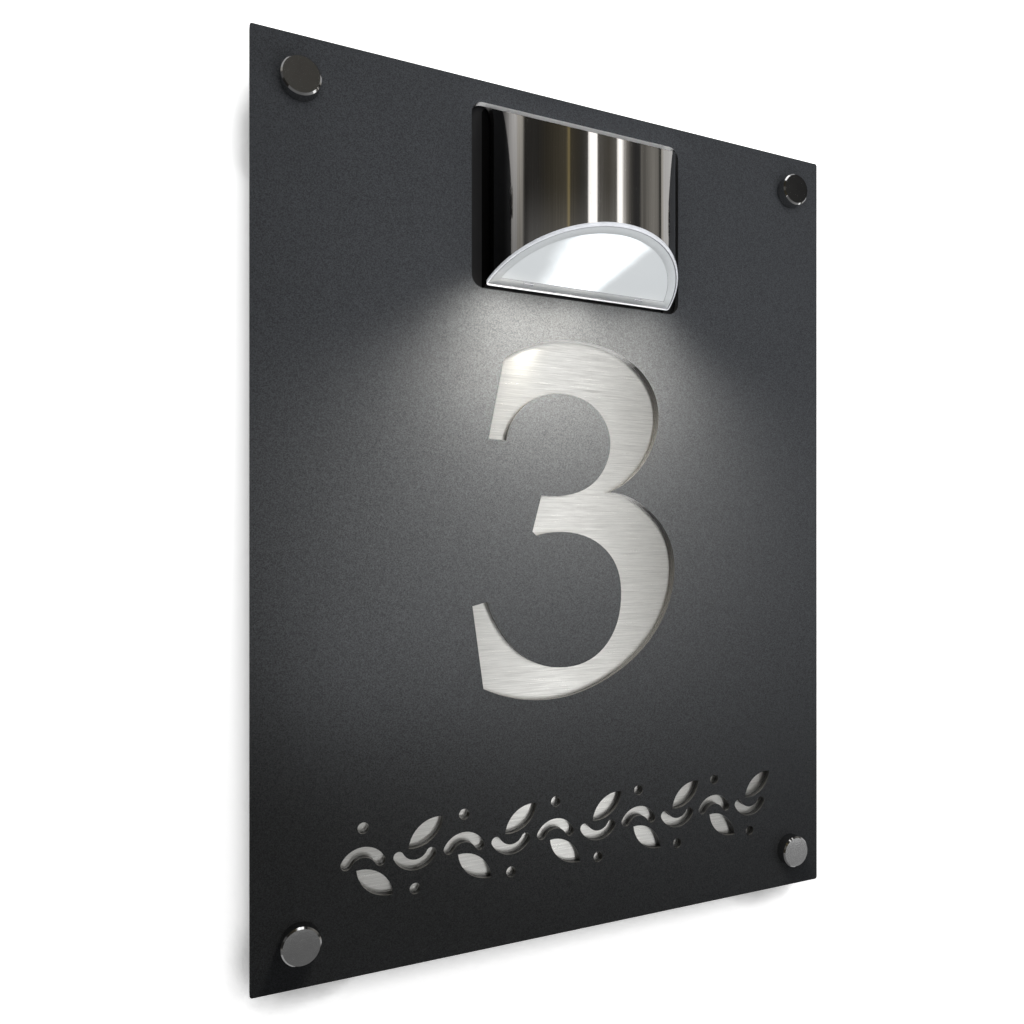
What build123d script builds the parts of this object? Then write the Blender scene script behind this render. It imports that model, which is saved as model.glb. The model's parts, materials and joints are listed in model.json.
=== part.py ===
from build123d import *
from math import cos, radians, sin, sqrt, tan
import os

# Illuminated house number sign: a cut-out wall plate with a half-round solar lamp, on four standoffs.
#
# Millimetres, +Z up. The wall is the plane Y = 0 and the front faces -Y. The origin is on the wall, in
# the middle of the four standoffs. A name with "out" in it is a distance out from the wall, so a point
# at a distance out has Y = -out.

# ---------------------------------------------------------------- driving dimensions

# Front plate and the sheet behind it
plate_width = 300.0
plate_height = 400.0
plate_thickness = 3.0
plate_corner = 1.2
backing_thickness = 1.5
backing_inset = 4.0

# Standoffs
standoff_inset = 20.0
barrel_length = 15.0
barrel_diameter = 16.0
barrel_floor = 4.0
barrel_chamfer = 0.6
wall_screw_hole = 5.2
stud_diameter = 7.9
stud_engagement = 8.0
thread_clearance = 0.05
washer_thickness = 0.5
washer_diameter = 15.0
plate_hole = 8.6
cap_diameter = 16.5
cap_height = 5.5
cap_bevel = 0.7

# Numeral, cut through the front plate between the window and the garland
numeral_x = 1.0
numeral_drop = 19.55
numeral_lift = 64.15

# Leaf garland, cut through the front plate
garland_length = 230.0
garland_rise = 48.5
garland_halves = 10
garland_swing = 4.5
garland_stroke = 4.7
garland_bridge = 3.4
leaf_length = 20.5
leaf_bulge = 4.4
leaf_lean = 38.0
leaf_gap = 3.0
berry_diameter = 5.0
berry_reach = 15.0

# Window in the front plate, which the lamp passes through
window_width = 112.0
window_height = 85.6
window_top_inset = 9.9
window_corner = 6.0
window_relief = 1.0
lamp_x = 2.0

# Lamp cover and lens
cover_radius = 49.7
cover_wall = 0.8
axis_recess = 8.6
roof_gap = 1.9
roof_angle = 32.4
lens_angle = 22.8
lens_seat = 3.2
lens_radius = 51.4
lens_thickness = 2.7
lens_skin = 1.2
lens_rim = 1.6
lens_proud = 0.5
lens_corner = 1.4
tongue_spread = 29.5
tongue_width = 6.0
tongue_thickness = 1.2
tongue_height = 5.0
tongue_setback = 3.3
fit_gap = 0.3

# Lamp base
flange_width = 126.0
flange_height = 98.5
flange_thickness = 2.5
flange_corner = 5.0
flange_rise = 0.45
flange_stud_x = 59.5
flange_stud_z = 45.75
weld_stud_diameter = 3.0
weld_stud_length = 6.0
weld_stud_hole = 3.6
nut_flats = 5.5
nut_height = 2.4
locating_rib_wall = 1.8
locating_rib_height = 4.0
locating_rib_length = 56.0

# Screws that hold the reflector and the top frame to the base
boss_x = 39.0
boss_diameter = 6.0
boss_length = 7.2
boss_rise = 5.0
top_boss_drop = 9.4
screw_diameter = 2.6
screw_length = 7.5
screw_clearance = 0.4
screw_head_diameter = 5.6
screw_head_height = 1.9
screw_cross = 3.2
screw_cross_width = 0.8

# Reflector and lighting board
reflector_height = 9.0
reflector_wall = 1.6
reflector_ceiling = 1.8
reflector_back = 3.8
led_board_length = 62.0
led_board_width = 12.0
led_board_thickness = 1.2
led_board_out = 16.0
led_count = 4
led_pitch = 14.0
led_size = 3.5
led_height = 1.0

# Top frame, solar cell and its window
frame_thickness = 4.4
frame_recess = 0.3
frame_back = 0.8
panel_margin = 3.0
panel_setback = 3.0
panel_window_thickness = 2.0
cell_length = 56.0
cell_width = 23.0
cell_thickness = 1.2
cell_out = 15.5

# Battery box, in the base's back
battery_diameter = 14.5
battery_length = 50.5
battery_nub_diameter = 5.5
battery_nub_length = 1.0
battery_z = -5.3
box_cavity_length = 58.0
box_cavity_height = 15.5
box_wall = 2.6
box_end_wall = 1.8
box_rear = 9.0
door_groove = 2.0
door_groove_depth = 0.9
door_lip = 0.9
door_rib_height = 0.8
door_rib_pitch = 3.0
contact_thickness = 0.4
contact_height = 9.0
spring_radius = 3.2
spring_wire = 0.7
spring_turns = 4

# Circuit board
board_length = 44.0
board_height = 14.0
board_thickness = 1.2
board_post = 3.5
board_post_diameter = 4.0
board_post_spread = 36.0
board_z = 19.7
chip_length = 6.0
chip_width = 4.4
chip_height = 1.5
coil_diameter = 6.5
coil_height = 3.6
capacitor_diameter = 5.0
capacitor_height = 6.5

# Slide switch
switch_x = 40.0
switch_travel = 4.0
knob_width = 2.8
knob_height = 3.6
knob_proud = 1.6
switch_body_width = 7.0
switch_body_height = 14.0
switch_body_depth = 4.5

# ---------------------------------------------------------------- places worked out from them

backing_out = barrel_length + washer_thickness
plate_out = backing_out + backing_thickness
front_out = plate_out + plate_thickness
cap_out = front_out + washer_thickness
hole_pitch_x = plate_width - 2 * standoff_inset
hole_pitch_z = plate_height - 2 * standoff_inset

window_top = plate_height / 2 - window_top_inset
window_z = window_top - window_height / 2
window_bottom = window_top - window_height

garland_z = garland_rise - plate_height / 2
numeral_top = window_bottom - numeral_drop
numeral_foot = garland_z + numeral_lift
numeral_height = numeral_top - numeral_foot
numeral_z = (numeral_top + numeral_foot) / 2

axis_out = front_out - axis_recess
cover_tip = axis_out + cover_radius
roof_top = window_top - roof_gap
lens_rear_z = window_bottom + lens_seat
flange_out = backing_out - flange_thickness
flange_z = window_z + flange_rise
battery_centre_z = window_z + battery_z
inner_radius = cover_radius - cover_wall - 0.7 * fit_gap
reach = lens_radius + plate_thickness


def roof_z(out):
    """Height of the cover's top edge: level inside the plate, then sloping down to the front."""
    return roof_top - max(0.0, out - front_out) * tan(radians(roof_angle))


def lens_z(out):
    """Height of the lens's upper face, which rises to the front."""
    return lens_rear_z + (out - front_out) * tan(radians(lens_angle))


def roof_band(upper, lower, back):
    """Side outline of a layer under the roof, between two drops below it."""
    outs = sorted({back, max(back, front_out), axis_out + reach})
    return [(out, roof_z(out) - upper) for out in outs] + [(out, roof_z(out) - lower) for out in outs[::-1]]


def lens_band(lower, upper, back):
    """Side outline of a layer along the lens, between two heights above its upper face."""
    outs = [back, axis_out + reach]
    return [(out, lens_z(out) + lower) for out in outs] + [(out, lens_z(out) + upper) for out in outs[::-1]]


def half_round(radius, back, outline):
    """Half-round block about the lamp's upright axis, cut to a side outline of (out, height) pairs."""
    with BuildPart() as block:
        with BuildSketch(Plane.XY.offset(window_bottom - reach)):
            with Locations((lamp_x, -axis_out)):
                Circle(radius)
            with Locations((lamp_x, -back + radius)):
                Rectangle(3 * radius, 2 * radius, mode=Mode.SUBTRACT)
        extrude(amount=window_height + 2 * reach)
        with BuildSketch(Plane.YZ):
            with BuildLine():
                Polyline(*[(-out, z) for out, z in outline], close=True)
            make_face()
        extrude(amount=window_width, both=True, mode=Mode.INTERSECT)
    return block.part


def finish(part, name):
    """Label a finished piece and write it to its own file."""
    part.label = name
    export_step(part, f"parts/{name}.step")


os.makedirs("parts", exist_ok=True)

# ---------------------------------------------------------------- front plate


def numeral_outline():
    """Serif numeral three, drawn in hundredths of its height about its centre."""
    unit = numeral_height / 100

    def spot(x, z):
        return (numeral_x + x * unit, numeral_z + z * unit)

    with BuildLine() as outline:
        upper_bowl = Spline(
            spot(-22.7, 43.1), spot(-13.5, 47.9), spot(-2.5, 50.0), spot(9.5, 48.8), spot(19.6, 44.0),
            spot(25.2, 36.5), spot(26.2, 29.0), spot(22.6, 18.6), spot(9.6, 7.9),
        )
        lower_bowl = Spline(
            upper_bowl @ 1, spot(15.6, 6.9), spot(21.5, 4.0), spot(27.4, -1.3), spot(31.0, -8.0),
            spot(31.8, -15.5), spot(29.6, -25.0), spot(21.5, -36.8), spot(9.5, -45.2), spot(-3.5, -49.5),
            spot(-13.5, -49.9), spot(-28.6, -45.8),
        )
        Polyline(lower_bowl @ 1, spot(-31.7, -23.6), spot(-27.4, -22.5))
        lower_counter = Spline(
            spot(-27.4, -22.5), spot(-22.7, -31.8), spot(-15.2, -38.8), spot(-5.2, -41.4), spot(4.4, -39.2),
            spot(11.0, -32.4), spot(13.6, -22.0), spot(11.9, -12.9), spot(5.4, -6.2), spot(-4.0, -3.6),
            spot(-13.1, -4.7),
        )
        Polyline(lower_counter @ 1, spot(-14.3, -3.6), spot(-11.6, 6.4))
        upper_counter = Spline(
            spot(-11.6, 6.4), spot(-5.0, 6.5), spot(3.6, 9.6), spot(9.0, 16.5), spot(9.6, 25.1),
            spot(4.9, 31.9), spot(-5.0, 35.0), spot(-14.5, 32.4), spot(-19.5, 27.5), spot(-21.9, 21.0),
        )
        Polyline(upper_counter @ 1, spot(-27.1, 21.2), upper_bowl @ 0)
    return outline.edges()


def leaf_outline(x, z, lean):
    """Pointed leaf that starts at (x, z) and leans by an angle from the garland's run."""
    tip = (x + leaf_length * cos(radians(lean)), z + leaf_length * sin(radians(lean)))
    with BuildLine() as outline:
        SagittaArc((x, z), tip, leaf_bulge)
        SagittaArc(tip, (x, z), leaf_bulge)
    return outline.edges()


half_wave = garland_length / garland_halves
stem_reach = (half_wave - garland_bridge - garland_stroke) / 2
stem_centres = [(i + 0.5) * half_wave - garland_length / 2 for i in range(garland_halves)]
stem_sides = [1 - 2 * (i % 2) for i in range(garland_halves)]

with BuildLine() as stem:
    for x, side in zip(stem_centres, stem_sides):
        ThreePointArc(
            (x - stem_reach, garland_z),
            (x, garland_z + side * garland_swing),
            (x + stem_reach, garland_z),
        )

with BuildPart() as front_plate:
    with BuildSketch(Plane.XZ.offset(plate_out)):
        RectangleRounded(plate_width, plate_height, plate_corner)
        with Locations((lamp_x, window_z)):
            RectangleRounded(window_width, window_height, window_corner, mode=Mode.SUBTRACT)
        with GridLocations(hole_pitch_x, hole_pitch_z, 2, 2):
            Circle(plate_hole / 2, mode=Mode.SUBTRACT)
        make_face(numeral_outline(), mode=Mode.SUBTRACT)
        for arc in stem.edges():
            SlotArc(arc, garland_stroke, mode=Mode.SUBTRACT)
        for x, side in zip(stem_centres, stem_sides):
            leaf_root = garland_z - side * leaf_gap
            make_face(leaf_outline(x - leaf_gap, leaf_root, -side * leaf_lean), mode=Mode.SUBTRACT)
        with Locations([(x, garland_z + s * berry_reach) for x, s in zip(stem_centres, stem_sides)]):
            Circle(berry_diameter / 2, mode=Mode.SUBTRACT)
    extrude(amount=plate_thickness)
finish(front_plate.part, "front_plate")

# ---------------------------------------------------------------- backing sheet with its weld studs

with BuildPart() as backing_sheet:
    with BuildSketch(Plane.XZ.offset(backing_out)):
        RectangleRounded(plate_width - 2 * backing_inset, plate_height - 2 * backing_inset, plate_corner)
        with Locations((lamp_x, window_z)):
            RectangleRounded(
                window_width + 2 * window_relief, window_height + 2 * window_relief,
                window_corner + window_relief, mode=Mode.SUBTRACT,
            )
        with GridLocations(hole_pitch_x, hole_pitch_z, 2, 2):
            Circle(plate_hole / 2, mode=Mode.SUBTRACT)
    extrude(amount=backing_thickness)
    with BuildSketch(Plane.XZ.offset(backing_out - weld_stud_length)):
        with Locations((lamp_x, flange_z)):
            with GridLocations(2 * flange_stud_x, 2 * flange_stud_z, 2, 2):
                Circle(weld_stud_diameter / 2)
    extrude(amount=weld_stud_length)
finish(backing_sheet.part, "backing_sheet")

# ---------------------------------------------------------------- standoffs

with BuildPart() as standoff_barrels:
    with BuildSketch(Plane.XZ):
        with GridLocations(hole_pitch_x, hole_pitch_z, 2, 2):
            Circle(barrel_diameter / 2)
            Circle(wall_screw_hole / 2, mode=Mode.SUBTRACT)
    extrude(amount=barrel_length)
    with BuildSketch(Plane.XZ.offset(barrel_floor)):
        with GridLocations(hole_pitch_x, hole_pitch_z, 2, 2):
            Circle(stud_diameter / 2 + thread_clearance)
    extrude(amount=barrel_length - barrel_floor, mode=Mode.SUBTRACT)
    barrel_rims = standoff_barrels.edges().filter_by(GeomType.CIRCLE)
    chamfer(barrel_rims.filter_by(lambda rim: rim.radius > stud_diameter), barrel_chamfer)
finish(standoff_barrels.part, "standoff_barrels")

for name, washer_out in (("back_washers", barrel_length), ("front_washers", front_out)):
    with BuildPart() as washers:
        with BuildSketch(Plane.XZ.offset(washer_out)):
            with GridLocations(hole_pitch_x, hole_pitch_z, 2, 2):
                Circle(washer_diameter / 2)
                Circle(plate_hole / 2, mode=Mode.SUBTRACT)
        extrude(amount=washer_thickness)
    finish(washers.part, name)

stud_length = cap_out - barrel_length + stud_engagement
for name, side, level in (("cap_tl", -1, 1), ("cap_tr", 1, 1), ("cap_bl", -1, -1), ("cap_br", 1, -1)):
    cap_plane = Plane.XZ.offset(cap_out).shift_origin(
        (side * hole_pitch_x / 2, -cap_out, level * hole_pitch_z / 2)
    )
    with BuildPart() as cap:
        with BuildSketch(cap_plane):
            Circle(cap_diameter / 2)
        extrude(amount=cap_height)
        chamfer(cap.edges().group_by(Axis.Y)[0], cap_bevel)
        with BuildSketch(cap_plane.offset(-stud_length)):
            Circle(stud_diameter / 2)
        extrude(amount=stud_length)
        chamfer(cap.edges().group_by(Axis.Y)[-1], barrel_chamfer)
    finish(cap.part, name)

# ---------------------------------------------------------------- lamp cover

cover_low = [(backing_out, lens_z(backing_out) + fit_gap), (axis_out + reach, lens_z(axis_out + reach) + fit_gap)]
cover_high = [(axis_out + reach, roof_z(axis_out + reach)), (front_out, roof_top), (backing_out, roof_top)]
cover_outside = half_round(cover_radius, backing_out, cover_low + cover_high)
cover_inside = half_round(cover_radius - cover_wall, backing_out, cover_low + cover_high)

with BuildPart() as steel_cover:
    add(cover_outside)
    add(cover_inside, mode=Mode.SUBTRACT)
finish(steel_cover.part, "steel_cover")

# ---------------------------------------------------------------- lens

lens_back = front_out + lens_proud
lens_blank = half_round(lens_radius, lens_back, lens_band(-lens_thickness, 0.0, lens_back))
lens_hollow = half_round(
    lens_radius - lens_rim, lens_back + lens_rim, lens_band(-2 * lens_thickness, -lens_skin, lens_back)
)
tongue_out = lens_back + tongue_setback
tongue_plane = Plane(
    origin=(lamp_x, -tongue_out, lens_z(tongue_out)),
    x_dir=(1, 0, 0),
    z_dir=(0, sin(radians(lens_angle)), cos(radians(lens_angle))),
)

with BuildPart() as lens:
    add(lens_blank)
    fillet(lens.edges().filter_by(Axis.Z), lens_corner)
    add(lens_hollow, mode=Mode.SUBTRACT)
    with BuildSketch(tongue_plane):
        with GridLocations(2 * tongue_spread, 0, 2, 1):
            Rectangle(tongue_width, tongue_thickness)
    extrude(amount=tongue_height)
finish(lens.part, "lens")

# ---------------------------------------------------------------- reflector, boards and light emitters

reflector_rear = backing_out + reflector_back
reflector_blank = half_round(
    inner_radius, reflector_rear, lens_band(fit_gap, reflector_height, reflector_rear)
)
reflector_hollow = half_round(
    inner_radius - reflector_wall, reflector_rear + reflector_wall,
    lens_band(-fit_gap, reflector_height - reflector_ceiling, reflector_rear),
)
boss_z = lens_rear_z + boss_rise
top_boss_z = roof_top - top_boss_drop

with BuildPart() as reflector:
    add(reflector_blank)
    add(reflector_hollow, mode=Mode.SUBTRACT)
    with BuildSketch(Plane.XZ.offset(backing_out)):
        with Locations((lamp_x, boss_z)):
            with GridLocations(2 * boss_x, 0, 2, 1):
                Circle(boss_diameter / 2)
    extrude(amount=boss_length)
    with BuildSketch(Plane.XZ.offset(backing_out)):
        with Locations((lamp_x, boss_z)):
            with GridLocations(2 * boss_x, 0, 2, 1):
                Circle(screw_diameter / 2)
    extrude(amount=boss_length - reflector_wall, mode=Mode.SUBTRACT)
finish(reflector.part, "reflector")

ceiling_out = front_out + led_board_out
ceiling_plane = Plane(
    origin=(lamp_x, -ceiling_out, lens_z(ceiling_out) + reflector_height - reflector_ceiling),
    x_dir=(1, 0, 0),
    z_dir=(0, -sin(radians(lens_angle)), -cos(radians(lens_angle))),
)

with BuildPart() as led_board:
    with BuildSketch(ceiling_plane):
        Rectangle(led_board_length, led_board_width)
    extrude(amount=led_board_thickness)
finish(led_board.part, "led_board")

with BuildPart() as leds:
    with BuildSketch(ceiling_plane.offset(led_board_thickness)):
        with GridLocations(led_pitch, 0, led_count, 1):
            Rectangle(led_size, led_size)
    extrude(amount=led_height, taper=12)
finish(leds.part, "leds")

# ---------------------------------------------------------------- top frame, solar cell and window

frame_rear = backing_out + frame_back
window_back = front_out + panel_setback
window_floor = frame_recess + panel_window_thickness
frame_blank = half_round(inner_radius, frame_rear, roof_band(frame_recess, frame_recess + frame_thickness, frame_rear))
window_seat = half_round(
    inner_radius - panel_margin, window_back, roof_band(-panel_margin, window_floor, window_back)
)
panel_window_block = half_round(
    inner_radius - panel_margin - 0.5 * fit_gap, window_back + 0.5 * fit_gap,
    roof_band(frame_recess, window_floor, window_back),
)
cell_centre_out = front_out + cell_out
cell_plane = Plane(
    origin=(lamp_x, -cell_centre_out, roof_z(cell_centre_out) - window_floor),
    x_dir=(1, 0, 0),
    z_dir=(0, sin(radians(roof_angle)), -cos(radians(roof_angle))),
)

with BuildPart() as top_frame:
    add(frame_blank)
    add(window_seat, mode=Mode.SUBTRACT)
    with BuildSketch(cell_plane):
        Rectangle(cell_length + fit_gap, cell_width + fit_gap)
    extrude(amount=cell_thickness, mode=Mode.SUBTRACT)
    with BuildSketch(Plane.XZ.offset(backing_out)):
        with Locations((lamp_x, top_boss_z)):
            with GridLocations(2 * boss_x, 0, 2, 1):
                Circle(boss_diameter / 2)
        with Locations((lamp_x, top_boss_z + boss_diameter / 2)):
            with GridLocations(2 * boss_x, 0, 2, 1):
                Rectangle(boss_diameter, boss_diameter)
    extrude(amount=boss_length)
    with BuildSketch(Plane.XZ.offset(backing_out)):
        with Locations((lamp_x, top_boss_z)):
            with GridLocations(2 * boss_x, 0, 2, 1):
                Circle(screw_diameter / 2)
    extrude(amount=boss_length - reflector_wall, mode=Mode.SUBTRACT)
finish(top_frame.part, "top_frame")

with BuildPart() as solar_cell:
    with BuildSketch(cell_plane):
        Rectangle(cell_length, cell_width)
    extrude(amount=cell_thickness)
finish(solar_cell.part, "solar_cell")

with BuildPart() as panel_window:
    add(panel_window_block)
finish(panel_window.part, "panel_window")

# ---------------------------------------------------------------- lamp base with its battery box

box_rear_out = flange_out - box_rear
groove_out = box_rear_out + door_lip
cavity_out = groove_out + door_groove
box_front_out = cavity_out + box_cavity_height + box_end_wall
box_length = box_cavity_length + 2 * box_end_wall
box_height = box_cavity_height + 2 * box_wall
rib_front = backing_out + locating_rib_height - axis_out
rib_x = sqrt((cover_radius - cover_wall) ** 2 - rib_front**2) - fit_gap - locating_rib_wall / 2
slot_height = knob_height + switch_travel + fit_gap
post_plane = Plane.XZ.offset(backing_out)

with BuildPart() as lamp_base:
    with BuildSketch(Plane.XZ.offset(flange_out)):
        with Locations((lamp_x, flange_z)):
            RectangleRounded(flange_width, flange_height, flange_corner)
    extrude(amount=flange_thickness)
    with BuildSketch(post_plane):
        with Locations((lamp_x, window_z)):
            with GridLocations(2 * rib_x, 0, 2, 1):
                Rectangle(locating_rib_wall, locating_rib_length)
    extrude(amount=locating_rib_height)
    with BuildSketch(post_plane):
        with Locations((lamp_x, window_z + board_z)):
            with GridLocations(board_post_spread, 0, 2, 1):
                Circle(board_post_diameter / 2)
    extrude(amount=board_post)
    with BuildSketch(Plane.XZ.offset(box_rear_out)):
        with Locations((lamp_x, battery_centre_z)):
            Rectangle(box_length, box_height)
    extrude(amount=box_front_out - box_rear_out)
    with BuildSketch(Plane.XZ.offset(box_rear_out)):
        with Locations((lamp_x, battery_centre_z)):
            Rectangle(box_cavity_length, box_cavity_height)
    extrude(amount=box_front_out - box_end_wall - box_rear_out, mode=Mode.SUBTRACT)
    with BuildSketch(Plane.XZ.offset(groove_out)):
        with Locations((lamp_x + box_end_wall / 2, battery_centre_z)):
            Rectangle(box_cavity_length + box_end_wall, box_cavity_height + 2 * door_groove_depth)
    extrude(amount=door_groove, mode=Mode.SUBTRACT)
    with BuildSketch(Plane.XZ.offset(box_rear_out)):
        with Locations((lamp_x + (box_cavity_length + box_end_wall) / 2, battery_centre_z)):
            Rectangle(box_end_wall, box_cavity_height)
    extrude(amount=door_lip, mode=Mode.SUBTRACT)
    with BuildSketch(Plane.XZ.offset(flange_out)):
        with Locations((lamp_x, flange_z)):
            with GridLocations(2 * flange_stud_x, 2 * flange_stud_z, 2, 2):
                Circle(weld_stud_hole / 2)
        for z in (boss_z, top_boss_z):
            with Locations((lamp_x, z)):
                with GridLocations(2 * boss_x, 0, 2, 1):
                    Circle((screw_diameter + screw_clearance) / 2)
        with Locations((lamp_x + switch_x, battery_centre_z)):
            Rectangle(knob_width + 2 * fit_gap, slot_height)
    extrude(amount=flange_thickness, mode=Mode.SUBTRACT)
finish(lamp_base.part, "lamp_base")

with BuildPart() as battery_door:
    with BuildSketch(Plane.XZ.offset(groove_out + fit_gap)):
        with Locations((lamp_x + box_end_wall / 2 + fit_gap / 2, battery_centre_z)):
            Rectangle(
                box_cavity_length + box_end_wall - fit_gap,
                box_cavity_height + 2 * (door_groove_depth - fit_gap),
            )
    extrude(amount=door_groove - 2 * fit_gap)
    with BuildSketch(Plane.XZ.offset(box_rear_out)):
        with Locations((lamp_x + box_end_wall / 2 + fit_gap / 2, battery_centre_z)):
            Rectangle(box_cavity_length + box_end_wall - fit_gap, box_cavity_height - 2 * fit_gap)
    extrude(amount=door_lip + fit_gap)
    with BuildSketch(Plane.XZ.offset(box_rear_out - door_rib_height)):
        with Locations((lamp_x + box_cavity_length / 2 - 3 * door_rib_pitch, battery_centre_z)):
            with GridLocations(door_rib_pitch, 0, 4, 1):
                SlotOverall(0.6 * box_cavity_height, door_rib_height, rotation=90)
    extrude(amount=door_rib_height)
finish(battery_door.part, "battery_door")

# ---------------------------------------------------------------- battery and its contacts

battery_out = cavity_out + box_cavity_height / 2
contact_x = box_cavity_length / 2 - contact_thickness
battery_end_x = lamp_x + contact_x
spring_length = 2 * contact_x - battery_length
cell_axis = Plane(
    origin=(battery_end_x, -battery_out, battery_centre_z), x_dir=(0, 1, 0), z_dir=(-1, 0, 0)
)

with BuildPart() as battery_cell:
    with BuildSketch(cell_axis):
        Circle(battery_nub_diameter / 2)
    extrude(amount=battery_nub_length)
    with BuildSketch(cell_axis.offset(battery_nub_length)):
        Circle(battery_diameter / 2)
    extrude(amount=battery_length - battery_nub_length)
finish(battery_cell.part, "battery_cell")

with BuildPart() as battery_contacts:
    for side in (-1, 1):
        with BuildSketch(Plane.YZ.offset(lamp_x + side * contact_x)):
            with Locations((-battery_out, battery_centre_z)):
                Rectangle(box_cavity_height - 4 * fit_gap, contact_height)
        extrude(amount=side * contact_thickness)
finish(battery_contacts.part, "battery_contacts")

with BuildPart() as battery_spring:
    with BuildLine():
        coil = Helix(
            pitch=(spring_length - spring_wire) / spring_turns,
            height=spring_length - spring_wire,
            radius=spring_radius,
            center=(lamp_x - contact_x + spring_wire / 2, -battery_out, battery_centre_z),
            direction=(1, 0, 0),
        )
    with BuildSketch(Plane(origin=coil @ 0, z_dir=coil % 0)):
        RegularPolygon(spring_wire / 2, 6)
    sweep(is_frenet=True)
finish(battery_spring.part, "battery_spring")

# ---------------------------------------------------------------- circuit board and switch

board_out = backing_out + board_post

with BuildPart() as control_board:
    with BuildSketch(Plane.XZ.offset(board_out)):
        with Locations((lamp_x, window_z + board_z)):
            Rectangle(board_length, board_height)
    extrude(amount=board_thickness)
finish(control_board.part, "control_board")

with BuildPart() as control_parts:
    with BuildSketch(Plane.XZ.offset(board_out + board_thickness)):
        with Locations((lamp_x, window_z + board_z)):
            Rectangle(chip_length, chip_width)
    extrude(amount=chip_height)
    with BuildSketch(Plane.XZ.offset(board_out + board_thickness)):
        with Locations((lamp_x - board_length / 4, window_z + board_z)):
            Circle(coil_diameter / 2)
    extrude(amount=coil_height)
    with BuildSketch(Plane.XZ.offset(board_out + board_thickness)):
        with Locations((lamp_x + board_length / 4, window_z + board_z)):
            Circle(capacitor_diameter / 2)
    extrude(amount=capacitor_height)
finish(control_parts.part, "control_parts")

with BuildPart() as switch_body:
    with BuildSketch(Plane.XZ.offset(backing_out)):
        with Locations((lamp_x + switch_x, battery_centre_z)):
            Rectangle(switch_body_width, switch_body_height)
    extrude(amount=switch_body_depth)
finish(switch_body.part, "switch_body")

with BuildPart() as switch_knob:
    with BuildSketch(Plane.XZ.offset(flange_out - knob_proud)):
        with Locations((lamp_x + switch_x, battery_centre_z - switch_travel / 2)):
            Rectangle(knob_width, knob_height)
    extrude(amount=knob_proud + flange_thickness - fit_gap)
    chamfer(switch_knob.faces().sort_by(Axis.Y)[-1].edges(), fit_gap)
finish(switch_knob.part, "switch_knob")

# ---------------------------------------------------------------- fasteners of the lamp

with BuildPart() as lamp_screws:
    for z in (boss_z, top_boss_z):
        with BuildSketch(Plane.XZ.offset(flange_out)):
            with Locations((lamp_x, z)):
                with GridLocations(2 * boss_x, 0, 2, 1):
                    Circle(screw_diameter / 2)
        extrude(amount=screw_length)
        with BuildSketch(Plane.XZ.offset(flange_out - screw_head_height)):
            with Locations((lamp_x, z)):
                with GridLocations(2 * boss_x, 0, 2, 1):
                    Circle(screw_head_diameter / 2)
        extrude(amount=screw_head_height)
        with BuildSketch(Plane.XZ.offset(flange_out - screw_head_height)):
            with Locations((lamp_x, z)):
                with GridLocations(2 * boss_x, 0, 2, 1):
                    Rectangle(screw_cross, screw_cross_width)
                    Rectangle(screw_cross_width, screw_cross)
        extrude(amount=screw_cross_width, mode=Mode.SUBTRACT)
finish(lamp_screws.part, "lamp_screws")

with BuildPart() as lamp_nuts:
    with BuildSketch(Plane.XZ.offset(flange_out - nut_height)):
        with Locations((lamp_x, flange_z)):
            with GridLocations(2 * flange_stud_x, 2 * flange_stud_z, 2, 2):
                RegularPolygon(nut_flats / 2, 6, major_radius=False)
                Circle(weld_stud_diameter / 2, mode=Mode.SUBTRACT)
    extrude(amount=nut_height)
finish(lamp_nuts.part, "lamp_nuts")
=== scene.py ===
"""Finishes, lamp details and studio for an illuminated house number sign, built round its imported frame."""

import json
import math

import bmesh
import bpy
from bpy.props import FloatProperty, FloatVectorProperty, IntProperty, PointerProperty
from mathutils import Matrix, Vector

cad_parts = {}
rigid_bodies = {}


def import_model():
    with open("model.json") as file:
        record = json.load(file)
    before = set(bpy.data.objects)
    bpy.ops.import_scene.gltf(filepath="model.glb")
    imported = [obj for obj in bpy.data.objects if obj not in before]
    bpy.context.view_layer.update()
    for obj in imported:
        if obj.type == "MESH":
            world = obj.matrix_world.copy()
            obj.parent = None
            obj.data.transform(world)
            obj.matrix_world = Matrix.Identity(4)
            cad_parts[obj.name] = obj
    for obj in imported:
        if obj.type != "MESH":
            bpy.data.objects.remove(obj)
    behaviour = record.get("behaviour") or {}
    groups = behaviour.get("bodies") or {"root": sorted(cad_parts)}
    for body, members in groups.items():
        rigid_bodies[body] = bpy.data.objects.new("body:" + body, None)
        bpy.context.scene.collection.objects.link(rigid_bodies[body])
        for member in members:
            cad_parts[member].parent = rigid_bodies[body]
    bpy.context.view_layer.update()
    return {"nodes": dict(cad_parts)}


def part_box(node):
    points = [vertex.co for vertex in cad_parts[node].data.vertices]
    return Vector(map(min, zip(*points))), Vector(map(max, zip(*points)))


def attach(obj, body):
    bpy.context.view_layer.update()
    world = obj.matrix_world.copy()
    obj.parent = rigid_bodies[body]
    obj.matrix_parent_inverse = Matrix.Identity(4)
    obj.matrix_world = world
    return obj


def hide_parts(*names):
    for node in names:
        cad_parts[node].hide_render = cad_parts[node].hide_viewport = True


bl_info = {
    "name": "House number sign",
    "version": (1, 0, 0),
    "blender": (4, 5, 0),
    "location": "3D View > Sidebar > Sign",
    "description": "Dresses a house number sign with a half-round solar lamp and sets it on a wall in a studio",
    "category": "Object",
}

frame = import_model()
MM = 0.001

PLATE_LOW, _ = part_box("front_plate")
COVER_LOW, COVER_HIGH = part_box("steel_cover")
LENS_LOW, LENS_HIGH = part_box("lens")
CELL_LOW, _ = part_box("solar_cell")
BATTERY_LOW, BATTERY_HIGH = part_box("battery_cell")
PARTS_LOW, PARTS_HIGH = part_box("control_parts")

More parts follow.
